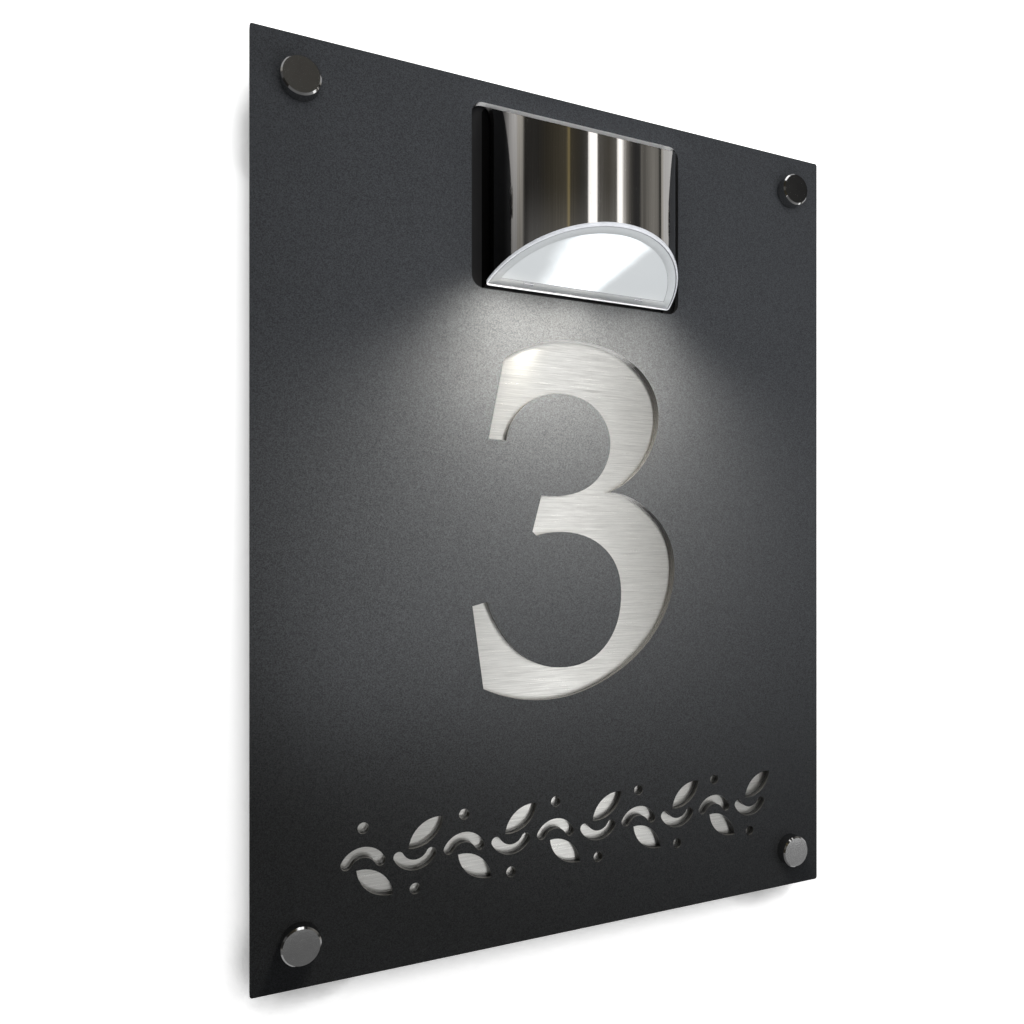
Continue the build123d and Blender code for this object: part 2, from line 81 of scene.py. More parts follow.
FRONT = PLATE_LOW.y  # front face of the plate
LAMP_X = (COVER_LOW.x + COVER_HIGH.x) / 2  # middle of the lamp
LENS_RADIUS = (LENS_HIGH.x - LENS_LOW.x) / 2
LENS_BACK = LENS_HIGH.y  # straight edge of the lens
LAMP_AXIS = LENS_LOW.y + LENS_RADIUS  # middle of the lens's arc
LENS_PITCH = math.radians(22.8)  # how steeply the lens rises to the front
LENS_REAR = 107.7 * MM  # height of the lens's upper face, LENS_REACH in front of the wall
LENS_REACH = 20.0 * MM

LENS_CORNER = 1.4 * MM  # radius of the lens's two corners
LEAST_CORNER = 0.2 * MM  # corner radius that every inner loop of the lens keeps
CORNER_STEPS = 8
CHORD_STEPS = 24
RIM_STEP = 0.35 * MM  # how much deeper the ring lies than the rim's edge
FACE_STEP = 0.3 * MM  # how much deeper the frosted face lies than the ring
FACE_BAND = 8 * MM  # width of the face's outer band
BLOCK_BEVEL = 0.12 * MM  # on every edge of the snap tongues

# The lens's snap tongues: distance from its middle and its straight edge, then the width, thickness and height of
# tongue, barb and the mark on the ring, with the height of their middles.
TONGUE_SIDE, TONGUE_INSET = 29.5 * MM, 3.3 * MM
TONGUE_SIZE, TONGUE_RISE = (6 * MM, 1.2 * MM, 5.2 * MM), 2.2 * MM
BARB_SIZE, BARB_RISE, BARB_REACH = (4 * MM, 0.9 * MM, 0.9 * MM), 4.2 * MM, 0.5 * MM
MARK_SIZE, MARK_DROP = (4.6 * MM, 1.1 * MM, 0.8 * MM), 0.1 * MM

WHITE = (1.0, 1.0, 1.0, 1.0)


# ---------------- sizes and colours a user would change


class SignPlateFinish(bpy.types.PropertyGroup):
    """Powder coat of the front plate."""

    coat_colour: FloatVectorProperty(
        name="Coat colour", description="Colour of the powder coat", subtype="COLOR",
        default=(0.047, 0.050, 0.055), min=0.0, max=1.0,
    )
    edge_colour: FloatVectorProperty(
        name="Cut edge colour", description="Colour of the coat on the cut edges", subtype="COLOR",
        default=(0.07, 0.07, 0.07), min=0.0, max=1.0,
    )
    # Painted light: the cut edges that face down take this near white, standing in for the light that falls on the
    # window's upper cut edge.
    painted_underside_light: FloatVectorProperty(
        name="Cut underside colour", description="Colour of the cut edges that face down", subtype="COLOR",
        default=(0.95, 0.95, 0.94), min=0.0, max=1.0,
    )
    coat_roughness: FloatProperty(
        name="Coat roughness", description="How matte the powder coat is", subtype="FACTOR",
        default=0.56, min=0.0, max=1.0,
    )
    grain_size: FloatProperty(
        name="Grain size", description="Width of the coat's grains", unit="LENGTH",
        default=0.45 * MM, min=0.1 * MM, max=5 * MM,
    )
    grain_height: FloatProperty(
        name="Grain height", description="Relief of the coat's grains", unit="LENGTH",
        default=0.07 * MM, min=0.0, max=1 * MM,
    )


class SignMetalFinish(bpy.types.PropertyGroup):
    """Brushed sheet, polished cover, caps and barrels."""

    sheet_colour: FloatVectorProperty(
        name="Sheet colour", description="Colour of the brushed backing sheet", subtype="COLOR",
        default=(0.84, 0.84, 0.82), min=0.0, max=1.0,
    )
    cover_colour: FloatVectorProperty(
        name="Cover colour", description="Colour of the lamp's polished cover", subtype="COLOR",
        default=(0.62, 0.60, 0.58), min=0.0, max=1.0,
    )
    # Painted shade: darkens the cover's sides close to the plate, standing in for the dark plate they mirror.
    side_shade: FloatProperty(
        name="Side shade", description="Share of the cover's colour that is left at its sides, close to the plate",
        subtype="FACTOR", default=0.2, min=0.0, max=1.0,
    )
    cap_colour: FloatVectorProperty(
        name="Cap colour", description="Colour of the dark polished caps", subtype="COLOR",
        default=(0.42, 0.42, 0.42), min=0.0, max=1.0,
    )
    barrel_colour: FloatVectorProperty(
        name="Barrel colour", description="Colour of the turned barrels", subtype="COLOR",
        default=(0.55, 0.55, 0.54), min=0.0, max=1.0,
    )
    streak_width: FloatProperty(
        name="Streak width", description="Width of the brushing's streaks", unit="LENGTH",
        default=0.45 * MM, min=0.02 * MM, max=3 * MM,
    )
    streak_length: FloatProperty(
        name="Streak length", description="Length of the brushing's streaks", unit="LENGTH",
        default=22 * MM, min=1 * MM, max=200 * MM,
    )


class SignLampFinish(bpy.types.PropertyGroup):
    """Lens and its glow."""

    lens_colour: FloatVectorProperty(
        name="Lens colour", description="Colour of the frosted lens", subtype="COLOR",
        default=(0.30, 0.31, 0.32), min=0.0, max=1.0,
    )
    glow_colour: FloatVectorProperty(
        name="Glow colour", description="Colour of the lamp's light", subtype="COLOR",
        default=(0.93, 0.98, 1.0), min=0.0, max=1.0,
    )
    wash_colour: FloatVectorProperty(
        name="Wash colour", description="Colour of the lamp's light on the plate", subtype="COLOR",
        default=(1.0, 0.935, 0.81), min=0.0, max=1.0,
    )
    glow_strength: FloatProperty(
        name="Glow strength", description="Brightness of the middle of the lens",
        default=0.85, min=0.0, max=50.0,
    )
    haze_strength: FloatProperty(
        name="Haze strength", description="Brightness of the rest of the lens",
        default=0.38, min=0.0, max=10.0,
    )
    glow_left: FloatProperty(
        name="Glow left", description="Where the bright patch ends, left of the lens's middle", unit="LENGTH",
        default=20 * MM, min=1 * MM, max=50 * MM,
    )
    glow_right: FloatProperty(
        name="Glow right", description="Where the bright patch ends at the plate, right of the lens's middle",
        unit="LENGTH", default=2.5 * MM, min=-40 * MM, max=50 * MM,
    )
    glow_lean: FloatProperty(
        name="Glow lean", description="How far the patch's right side leans out for each length forward",
        default=0.42, min=-2.0, max=2.0,
    )
    ring_width: FloatProperty(
        name="Ring width", description="Width of the flat ring inside the lens's rim", unit="LENGTH",
        default=3.5 * MM, min=0.5 * MM, max=10 * MM,
    )
    rim_width: FloatProperty(
        name="Rim width", description="Width of the lens's clear rim", unit="LENGTH",
        default=0.75 * MM, min=0.4 * MM, max=5 * MM,
    )
    rim_height: FloatProperty(
        name="Rim height", description="Height of the lens's clear rim", unit="LENGTH",
        default=2.15 * MM, min=0.5 * MM, max=10 * MM,
    )
    arc_steps: IntProperty(
        name="Arc steps", description="Points along the lens's curved side", default=96, min=12, max=400,
    )


class SignStudio(bpy.types.PropertyGroup):
    """Wall, floor, lamps and camera."""

    wall_colour: FloatVectorProperty(
        name="Wall colour", description="Colour of the wall and the floor", subtype="COLOR",
        default=(0.82, 0.82, 0.82), min=0.0, max=1.0,
    )
    wall_glow: FloatProperty(
        name="Wall whiteness", description="What lifts the wall to white in the picture",
        default=0.95, min=0.0, max=2.0,
    )
    # Painted shadow: how much of the wall's glow is left where the sign shades it.
    wall_shade: FloatProperty(
        name="Wall shade", description="What is left of that in the shade behind the sign",
        default=0.24, min=0.0, max=2.0,
    )
    wall_mirrored: FloatProperty(
        name="Wall in metal", description="Brightness of the wall in the metal's reflections",
        default=0.6, min=0.0, max=2.0,
    )
    floor_mirrored: FloatProperty(
        name="Floor in metal", description="Brightness of the floor under the sign in metal",
        default=0.22, min=0.0, max=2.0,
    )
    # Painted light: brightness of the pool of light painted on the floor, seen only in metal.
    pool_mirrored: FloatProperty(
        name="Pool in metal", description="Brightness of the lit pool on the floor, further out, in metal",
        default=2.5, min=0.0, max=5.0,
    )
    floor_drop: FloatProperty(
        name="Floor drop", description="How far the floor lies under the sign", unit="LENGTH",
        default=1.2, min=0.3, max=5.0,
    )
    room_light: FloatProperty(
        name="Room light", description="Even light from all round", default=0.06, min=0.0, max=5.0,
    )
    key_power: FloatProperty(
        name="Key power", description="Power of the softbox in front of the sign, in watts",
        default=1.42, min=0.0, max=500.0,
    )
    fill_power: FloatProperty(
        name="Fill power", description="Power of the softbox at the right, in watts",
        default=0.42, min=0.0, max=500.0,
    )
    back_power: FloatProperty(
        name="Back power", description="Power of the softbox behind the sign, in watts",
        default=14.0, min=0.0, max=500.0,
    )
    near_wash: FloatProperty(
        name="Near wash", description="Power of the lamp's light just under the lens",
        default=6.95, min=0.0, max=500.0,
    )
    far_wash: FloatProperty(
        name="Far wash", description="Power of the lamp's light over the numeral",
        default=0.8, min=0.0, max=500.0,
    )
    edge_power: FloatProperty(
        name="Edge light", description="Power of what lights the window's upper edge, in watts",
        default=0.0035, min=0.0, max=5.0,
    )
    camera_place: FloatVectorProperty(
        name="Camera place", description="Where the camera stands", subtype="TRANSLATION",
        default=(-164.6 * MM, -343.0 * MM, -16.4 * MM),
    )
    camera_yaw: FloatProperty(
        name="Camera yaw", description="How far the level camera turns to the right", subtype="ANGLE",
        default=math.radians(22.0),
    )
    camera_lens: FloatProperty(
        name="Camera lens", description="Focal length in millimetres", default=26.19, min=10.0, max=300.0,
    )
    camera_shift: FloatProperty(
        name="Camera shift", description="Upward shift of the picture", default=0.0378, min=-0.2, max=0.2,
    )


# ---------------- finishes


class Nodes:
    """A node tree, with short ways to add to it."""

    def __init__(self, tree):
        self.tree = tree

    def node(self, kind, inputs=None, **settings):
        """A node with its settings and inputs, each input a value or another node's output."""
        node = self.tree.nodes.new(kind)
        for key, value in settings.items():
            setattr(node, key, value)
        for key, value in (inputs or {}).items():
            self.feed(node.inputs[key], value)
        return node

    def feed(self, socket, value):
        """Links a node's output to a socket, or sets the socket to a value."""
        if isinstance(value, bpy.types.NodeSocket):
            self.tree.links.new(value, socket)
        else:
            socket.default_value = value

    def feed_all(self, node, *values):
        """Feeds a node's inputs in their order."""
        for socket, value in zip(node.inputs, values):
            self.feed(socket, value)
        return node.outputs[0]

    def calc(self, operation, a, b=0.0, c=0.0):
        """The result of an operation on up to three numbers."""
        return self.feed_all(self.node("ShaderNodeMath", operation=operation), a, b, c)

    def times(self, a, b):
        """The product of two numbers."""
        return self.calc("MULTIPLY", a, b)

    def span(self, value, low, high, to_low=0.0, to_high=1.0, smooth=False):
        """Value from low to high turned into to_low to to_high, and kept between them."""
        node = self.node("ShaderNodeMapRange", interpolation_type="SMOOTHSTEP" if smooth else "LINEAR")
        return self.feed_all(node, value, low, high, to_low, to_high)

    def step(self, value, middle, soft):
        """Zero turning into one at the middle, within soft to each side; into zero where soft is negative."""
        return self.span(value, middle - soft, middle + soft, smooth=True)

    def axes(self, vector):
        """The x, y and z of a vector."""
        return self.node("ShaderNodeSeparateXYZ", {"Vector": vector}).outputs

    def either(self, share, first, second):
        """One shader turning into another."""
        return self.feed_all(self.node("ShaderNodeMixShader"), share, first, second)


class Finish(Nodes):
    """One procedural finish: a principled shader and the nodes that feed it."""

    def __init__(self, name):
        self.material = bpy.data.materials.new(name)
        self.material.use_nodes = True
        super().__init__(self.material.node_tree)
        self.shader = self.tree.nodes["Principled BSDF"]
        self.place = self.node("ShaderNodeTexCoord").outputs["Object"]

    def wear(self, **inputs):
        """Feeds the shader: base_color=..., roughness=..., and so on."""
        for key, value in inputs.items():
            words = key.replace("_", " ").title().replace("Ior", "IOR")
            if words.endswith("Color") and not isinstance(value, bpy.types.NodeSocket):
                value = (*value[:3], 1.0)
            self.feed(self.shader.inputs[words], value)

    def stretch(self, *sizes):
        """The object's own coordinates, divided by the grain's size: one for all axes, or one for each."""
        sizes = sizes if len(sizes) == 3 else sizes * 3
        mapping = self.node("ShaderNodeMapping", {"Vector": self.place, "Scale": tuple(1 / s for s in sizes)})
        return mapping.outputs["Vector"]

    def noise(self, *sizes, detail=2.0, roughness=0.5, distortion=0.0):
        """Cloudy noise round 0.5 with grains of one size, or of one for each axis."""
        inputs = {"Vector": self.stretch(*sizes), "Scale": 1.0, "Detail": detail, "Roughness": roughness}
        return self.node("ShaderNodeTexNoise", {**inputs, "Distortion": distortion}).outputs["Fac"]

    def cells(self, *sizes, output="Distance", randomness=1.0):
        """Scattered cells: how far the nearest one's middle is, or its own colour."""
        inputs = {"Vector": self.stretch(*sizes), "Scale": 1.0, "Randomness": randomness}
        return self.node("ShaderNodeTexVoronoi", inputs).outputs[output]

    def mix(self, share, a, b):
        """Colour a turning into colour b."""
        node = self.node("ShaderNodeMix", data_type="RGBA")
        for index, value in ((0, share), (6, a), (7, b)):
            if index and not isinstance(value, bpy.types.NodeSocket):
                value = (*value[:3], 1.0)
            self.feed(node.inputs[index], value)
        return node.outputs[2]

    def shade(self, colour, value, low, high):
        """Colour times a share that follows value, from low to high."""
        dark = [c * low for c in colour]
        light = [min(1.0, c * high) for c in colour]
        return self.mix(value, dark, light)

    def relief(self, height, distance, strength):
        """Bump of a height field, distance deep."""
        inputs = {"Height": height, "Distance": distance, "Strength": strength}
        return self.node("ShaderNodeBump", inputs).outputs["Normal"]

    def stripes(self, value, pitch, share):
        """One on that share of each pitch, else zero."""
        turn = self.calc("PINGPONG", value, pitch / 2)
        return self.calc("LESS_THAN", turn, pitch * share / 2)


def dress(finish, *nodes):
    """Gives CAD nodes a finish through their material slots."""
    for name in nodes:
        for place in frame["nodes"][name].material_slots:
            place.material = finish.material


def powder_coat(settings):
    """Fine-structure powder coat, with sparse light flecks and slightly smoother cut edges; the cut edges that face
    down are painted near white as painted light.
    """
    coat = Finish("plate_powder_coat")
    grain = settings.grain_size
    fine = coat.noise(grain, detail=3.0, roughness=0.6)
    broad = coat.noise(6 * grain, detail=4.0, roughness=0.65)
    cloud = coat.noise(70 * MM)
    fleck_size = 0.8 * grain
    cell_colour = coat.cells(fleck_size, output="Color")
    fleck = coat.span(coat.axes(cell_colour)[0], 0.86, 1.0)
    tint = coat.shade(settings.coat_colour, coat.span(fine, 0.34, 0.66), 0.58, 1.42)
    tint = coat.mix(coat.times(fleck, 0.5), tint, [1.7 * c for c in settings.coat_colour])
    tint = coat.mix(coat.span(cloud, 0.3, 0.7, 0.0, 0.12), tint, [1.3 * c for c in settings.coat_colour])
    facing = coat.node("ShaderNodeNewGeometry").outputs["True Normal"]
    edge = coat.span(coat.calc("ABSOLUTE", coat.axes(facing)[1]), 0.3, 0.7, 1.0, 0.0)
    # Painted light: cut edges that face down are turned near white, as if lit from below.
    under = coat.span(coat.axes(facing)[2], -0.8, -0.95)
    cut = coat.mix(under, settings.edge_colour, coat.shade(settings.painted_underside_light, fine, 0.85, 1.1))
    height = coat.calc("MULTIPLY_ADD", broad, 0.8, fine)
    matte = coat.span(fine, 0.25, 0.75, settings.coat_roughness - 0.1, settings.coat_roughness + 0.1)
    coat.wear(
        base_color=coat.mix(edge, tint, cut),
        metallic=coat.times(edge, coat.span(under, 0.0, 1.0, 0.4, 0.0)),
        roughness=coat.calc("MULTIPLY_ADD", edge, -0.24, matte),
        specular_ior_level=0.12,
        normal=coat.relief(height, settings.grain_height, 0.8),
    )
    return coat


def brushed_sheet(settings):
    """Sheet brushed along its width: long streaks in its tone, roughness and relief."""
    metal = Finish("brushed_sheet")
    width, length = settings.streak_width, settings.streak_length
    streak = metal.noise(length, width, width, detail=4.0, roughness=0.7)
    fine = metal.noise(0.6 * length, 0.35 * width, 0.35 * width, detail=3.0, roughness=0.75)
    broad = metal.noise(60 * MM, 60 * MM, 40 * MM)
    both = metal.calc("MULTIPLY_ADD", fine, 0.5, metal.times(streak, 0.5))
    colour = settings.sheet_colour
    tone = metal.shade(colour, metal.span(both, 0.36, 0.64), 0.7, 1.14)
    metal.wear(
        base_color=metal.mix(metal.span(broad, 0.3, 0.7, 0.0, 0.3), tone, colour),
        metallic=1.0,
        roughness=metal.span(both, 0.35, 0.65, 0.4, 0.26),
        normal=metal.relief(both, 0.02 * MM, 0.6),
        anisotropic=0.75,
        tangent=metal.node("ShaderNodeCombineXYZ", {"Z": 1.0}).outputs["Vector"],
    )
    return metal


def polished_steel(settings):
    """Mirror-polished stainless sheet with faint upright polishing lines and handling haze, darkened at its sides as
    painted shade.
    """
    steel = Finish("polished_steel")
    lines = steel.noise(0.4 * MM, 0.4 * MM, 80 * MM, detail=5.0, roughness=0.75)
    specks = steel.cells(2.4 * MM, 2.4 * MM, 3.4 * MM)
    haze = steel.noise(14 * MM, 14 * MM, 30 * MM, detail=3.0)
    smear = steel.span(haze, 0.4, 0.75, 0.0, 0.04)
    speck = steel.span(specks, 0.05, 0.11, 0.12, 0.0)
    rough = steel.calc("ADD", steel.span(lines, 0.3, 0.7, 0.02, 0.07), steel.calc("ADD", smear, speck))
    # Painted shade: within 12 to 18 mm of the plate the colour drops to the side_shade share, standing in for the dark
    # plate mirrored there, and the strips beside them are painted darker downwards.
    _, y, z = steel.axes(steel.place)
    sides = steel.span(y, FRONT - 18 * MM, FRONT - 12 * MM, 1.0, settings.side_shade, smooth=True)
    strips = steel.step(y, FRONT - 23.5 * MM, 1.5 * MM)
    margin = 12 * MM
    fading = steel.span(z, COVER_HIGH.z - margin, COVER_LOW.z + margin, 0.0, 0.5)
    falling = steel.times(strips, fading)
    painted_side_darkening = steel.times(sides, steel.calc("SUBTRACT", 1.0, falling))
    tone = steel.times(steel.span(lines, 0.3, 0.7, 0.714, 1.0), painted_side_darkening)
    steel.wear(
        base_color=steel.shade(settings.cover_colour, tone, 0.0, 1.12),
        metallic=1.0,
        roughness=rough,
        normal=steel.relief(lines, 0.004 * MM, 0.35),
    )
    return steel


def dark_chrome(settings):
    """Dark mirror plating with hair scratches."""
    chrome = Finish("dark_chrome")
    scratch = chrome.noise(3 * MM, 3 * MM, 0.12 * MM, detail=4.0, roughness=0.7, distortion=0.6)
    film = chrome.noise(4 * MM)
    chrome.wear(
        base_color=chrome.shade(settings.cap_colour, film, 0.9, 1.1),
        metallic=1.0,
        roughness=chrome.span(scratch, 0.35, 0.75, 0.03, 0.12),
        normal=chrome.relief(scratch, 0.002 * MM, 0.25),
    )
    return chrome


def turned_steel(settings):
    """Turned steel: fine rings round the barrels."""
    steel = Finish("turned_steel")
    y = steel.axes(steel.place)[1]
    ring_width = 0.14 * MM
    ring = steel.span(steel.calc("PINGPONG", y, ring_width), 0.0, ring_width)
    wear = steel.noise(5 * MM, detail=3.0)
    steel.wear(
        base_color=steel.shade(settings.barrel_colour, ring, 0.88, 1.08),
        metallic=1.0,
        roughness=steel.span(wear, 0.3, 0.7, 0.2, 0.34),
        normal=steel.relief(ring, 0.02 * MM, 0.4),
    )
    return steel


def moulded_plastic(name, colour, rough, depth=0.02 * MM, **more):
    """Injection-moulded plastic with a spark-eroded grain."""
    plastic = Finish(name)
    fine = plastic.noise(0.35 * MM, detail=3.0, roughness=0.6)
    flow = plastic.noise(18 * MM, 18 * MM, 30 * MM, distortion=0.5)
    tone = plastic.calc("MULTIPLY_ADD", flow, 0.5, plastic.times(fine, 0.5))
    plastic.wear(
        base_color=plastic.shade(colour, tone, 0.85, 1.15),
        roughness=plastic.span(fine, 0.3, 0.7, rough - 0.08, rough + 0.08),
        normal=plastic.relief(fine, depth, 0.6),
        **more,
    )
    return plastic


def clear_plastic(name, colour, rough, transmission, grain=0.8 * MM):
    """See-through plastic with a faint haze."""
    plastic = Finish(name)
    haze = plastic.noise(grain)
    plastic.wear(
        base_color=plastic.shade(colour, haze, 0.96, 1.02),
        roughness=plastic.span(haze, 0.3, 0.7, rough, rough + 0.08),
        transmission_weight=transmission,
        ior=1.49,
        normal=plastic.relief(haze, 0.01 * MM, 0.3),
    )
    return plastic


def frosted_glow(settings):
    """Frosted face of the lens: even haze, and a bright patch where the light emitters shine through."""
    face = Finish("frosted_lens")
    x, y, _ = face.axes(face.place)
    side = face.calc("SUBTRACT", x, LAMP_X)
    deep = face.calc("SUBTRACT", LENS_BACK, y)
    ahead = face.calc("SUBTRACT", y, LAMP_AXIS)
    reach = face.calc("SQRT", face.calc("MULTIPLY_ADD", side, side, face.times(ahead, ahead)))
    # The bright patch fades to the arc and to the left, and its right side leans out to the front.
    swirl = face.noise(9 * MM, detail=3.0)
    stray = face.span(swirl, 0.3, 0.7, -0.7 * MM, 0.7 * MM)
    arc = face.step(face.calc("ADD", reach, stray), LENS_RADIUS - 5.1 * MM, -1.5 * MM)
    left = face.step(face.calc("ADD", side, stray), -settings.glow_left, 9 * MM)
    lean = face.calc("ADD", face.calc("MULTIPLY_ADD", deep, -settings.glow_lean, side), stray)
    right = face.step(lean, settings.glow_right, -5 * MM)
    oval = face.times(arc, face.times(left, right))
    frost = face.noise(0.4 * MM)
    strength = face.calc("MULTIPLY_ADD", oval, settings.glow_strength, settings.haze_strength)
    face.wear(
        base_color=face.shade(settings.lens_colour, frost, 0.96, 1.03),
        roughness=0.5,
        normal=face.relief(frost, 0.02 * MM, 0.4),
        emission_color=settings.glow_colour,
        emission_strength=strength,
    )
    return face


def lens_ring(settings):
    """Flat ring inside the lens's rim: dim along the plate, brighter along the arc and at its right end."""
    ring = Finish("lens_ring")
    x, y, _ = ring.axes(ring.place)
    mottle = ring.noise(1.5 * MM, detail=3.0)
    light = ring.span(y, LENS_BACK - 4 * MM, LENS_BACK - 8 * MM, 0.1, 0.24)
    light = ring.calc("ADD", light, ring.span(x, LAMP_X + 30 * MM, LAMP_X + 48 * MM, 0.0, 0.14))
    ring.wear(
        base_color=ring.shade(settings.lens_colour, mottle, 0.9, 1.1),
        roughness=0.3,
        emission_color=settings.glow_colour,
        emission_strength=light,
        normal=ring.relief(mottle, 0.02 * MM, 0.3),
    )
    return ring


def lens_rim(settings):
    """Clear rim of the lens, bright from the light inside it."""
    rim = Finish("lens_rim")
    ripple = rim.noise(3 * MM, 3 * MM, 0.7 * MM, detail=3.0)
    rim.wear(
        base_color=rim.shade((0.56, 0.57, 0.61), ripple, 0.9, 1.05),
        roughness=0.12,
        emission_color=settings.glow_colour,
        emission_strength=rim.span(ripple, 0.3, 0.7, 0.12, 0.28),
        coat_weight=0.6,
        coat_roughness=0.05,
        normal=rim.relief(ripple, 0.05 * MM, 0.3),
    )
    return rim


def painted_groove_shade():
    """Painted shade: the groove between the lens's rim and its face is dark grey and does not glow, standing in for the
    shade in the crease.
    """
    groove = Finish("painted_groove_shade")
    mottle = groove.noise(2 * MM)
    # Painted shade: a dark grey with no glow, where the crease lies in shade.
    groove.wear(base_color=groove.shade((0.24, 0.245, 0.27), mottle, 0.8, 1.2), roughness=0.3)
    return groove


def solar_silicon():
    """Dark blue cell with silver fingers and two bus bars under its laminate."""
    cell = Finish("solar_silicon")
    x, y, _ = cell.axes(cell.place)
    grid_half = 28 * MM
    x = cell.calc("SUBTRACT", x, LAMP_X - grid_half)
    y = cell.calc("SUBTRACT", y, CELL_LOW.y)
    finger = cell.stripes(x, 1.4 * MM, 0.1)
    gap = cell.stripes(x, 14 * MM, 0.05)
    bars = cell.stripes(cell.calc("ADD", y, 5 * MM), 10 * MM, 0.09)
    crystal = cell.cells(3 * MM, output="Color")
    blue = cell.mix(cell.axes(crystal)[0], (0.006, 0.010, 0.035), (0.014, 0.026, 0.085))
    silver = cell.mix(cell.calc("MAXIMUM", finger, bars), blue, (0.55, 0.57, 0.6))
    cell.wear(
        base_color=cell.mix(gap, silver, (0.01, 0.01, 0.012)),
        roughness=cell.span(cell.calc("MAXIMUM", finger, bars), 0.0, 1.0, 0.22, 0.4),
        coat_weight=0.8,
        coat_roughness=0.06,
    )
    return cell


def circuit_board(name, mask, metal, track=1.6 * MM):
    """Lacquered board: tracks under the lacquer and bare pads."""
    board = Finish(name)
    turned = board.node("ShaderNodeMapping", {"Vector": board.place, "Rotation": (math.radians(90), 0, 0)})
    bricks = {"Mortar Size": 0.16 * track, "Brick Width": 4 * track, "Row Height": track, "Scale": 1.0}
    brick = board.node("ShaderNodeTexBrick", {"Vector": turned.outputs["Vector"], **bricks})
    pads = board.cells(2.2 * MM, randomness=0.55)
    pad = board.span(pads, 0.2, 0.24, 1.0, 0.0)
    weave = board.noise(0.4 * MM)
    lacquer = board.mix(brick.outputs["Fac"], [1.25 * c for c in mask], [0.8 * c for c in mask])
    board.wear(
        base_color=board.mix(pad, lacquer, metal),
        roughness=board.span(weave, 0.3, 0.7, 0.28, 0.4),
        coat_weight=0.5,
        coat_roughness=0.15,
        normal=board.relief(brick.outputs["Fac"], 0.03 * MM, 0.4),
    )
    return board


def board_components():
    """Black moulded chip, ferrite coil and sleeved capacitor, told apart by where they stand."""
    parts = Finish("board_parts")
    x, y, _ = parts.axes(parts.place)
    middle = (PARTS_LOW.x + PARTS_HIGH.x) / 2
    chip_half = 5 * MM
    right = parts.calc("GREATER_THAN", x, middle + chip_half)
    left = parts.calc("LESS_THAN", x, middle - chip_half)
    top = parts.calc("LESS_THAN", y, PARTS_LOW.y + 0.05 * MM)
    grain = parts.noise(0.3 * MM)
    winding = parts.stripes(y, 0.5 * MM, 0.5)
    chip = parts.shade((0.02, 0.02, 0.021), grain, 0.7, 1.4)
    coil = parts.mix(winding, (0.05, 0.05, 0.055), (0.42, 0.16, 0.06))
    can = parts.mix(top, (0.012, 0.02, 0.05), (0.6, 0.6, 0.6))
    tint = parts.mix(left, parts.mix(right, chip, can), coil)
    parts.wear(base_color=tint, roughness=parts.span(grain, 0.3, 0.7, 0.35, 0.5))
    return parts


def battery_sleeve():
    """Shrink sleeve in two plain bands, with a nickel cap and button."""
    sleeve = Finish("battery_sleeve")
    x = sleeve.axes(sleeve.place)[0]
    along = sleeve.span(x, BATTERY_LOW.x, BATTERY_HIGH.x)
    border = 0.72
    band = sleeve.calc("GREATER_THAN", along, border)
    line = sleeve.calc("COMPARE", along, border, 0.012)
    bare = sleeve.calc("GREATER_THAN", along, 0.965)
    crease = sleeve.noise(6 * MM, 1.2 * MM, 1.2 * MM, detail=3.0)
    tint = sleeve.mix(band, sleeve.shade((0.05, 0.22, 0.09), crease, 0.85, 1.15), (0.62, 0.63, 0.62))
    tint = sleeve.mix(line, tint, (0.85, 0.85, 0.82))
    sleeve.wear(
        base_color=sleeve.mix(bare, tint, (0.66, 0.65, 0.62)),
        metallic=bare,
        roughness=sleeve.span(crease, 0.3, 0.7, 0.2, 0.32),
        normal=sleeve.relief(crease, 0.02 * MM, 0.3),
    )
    return sleeve


def plated_metal(name, colour, rough):
    """Plated small metal parts with a passivated mottle."""
    metal = Finish(name)
    mottle = metal.noise(1.2 * MM, detail=4.0)
    metal.wear(
        base_color=metal.shade(colour, mottle, 0.85, 1.1),
        metallic=1.0,
        roughness=metal.span(mottle, 0.3, 0.7, rough - 0.05, rough + 0.08),
    )
    return metal


# ---------------- shapes


def lens_height(y):
    """Height of the lens's upper face over the wall's distance y."""
    return LENS_REAR + (-y - LENS_REACH) * math.tan(LENS_PITCH)


def lens_outline(inset, steps):
    """Half-moon outline of the lens, drawn in from its edge, as (x, y) points with the same count each time."""
    radius = LENS_RADIUS - inset
    back = LENS_BACK - inset
    corner = max(LENS_CORNER - inset, LEAST_CORNER)
    offset = LAMP_AXIS - (back - corner)
    corner_x = math.sqrt((radius - corner) ** 2 - offset ** 2)
    turn = math.atan2(offset, corner_x)
    corners = []
    for side in (1, -1):
        bend = [-math.pi / 2 + (math.pi / 2 + turn) * i / CORNER_STEPS for i in range(CORNER_STEPS + 1)]
        round_off = [(side * (corner_x + corner * math.cos(a)), back - corner - corner * math.sin(a)) for a in bend]
        corners.append(round_off if side > 0 else round_off[::-1])
    arc = [turn + (math.pi - 2 * turn) * i / steps for i in range(1, steps)]
    curve = [(radius * math.cos(a), LAMP_AXIS - radius * math.sin(a)) for a in arc]
    chord = [(-corner_x + 2 * corner_x * i / CHORD_STEPS, back) for i in range(1, CHORD_STEPS)]
    return [(LAMP_X + x, y) for x, y in corners[0] + curve + corners[1] + chord]


def add_mesh(name, mesh, materials, body):
    """Turns a bmesh into a piece that rides on a body and takes its finish from a slot."""
    bmesh.ops.recalc_face_normals(mesh, faces=mesh.faces)
    data = bpy.data.meshes.new(name)
    mesh.to_mesh(data)
    mesh.free()
    for material in materials:
        data.materials.append(material)
    piece = bpy.data.objects.new(name, data)
    bpy.context.scene.collection.objects.link(piece)
    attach(piece, body)
    return piece


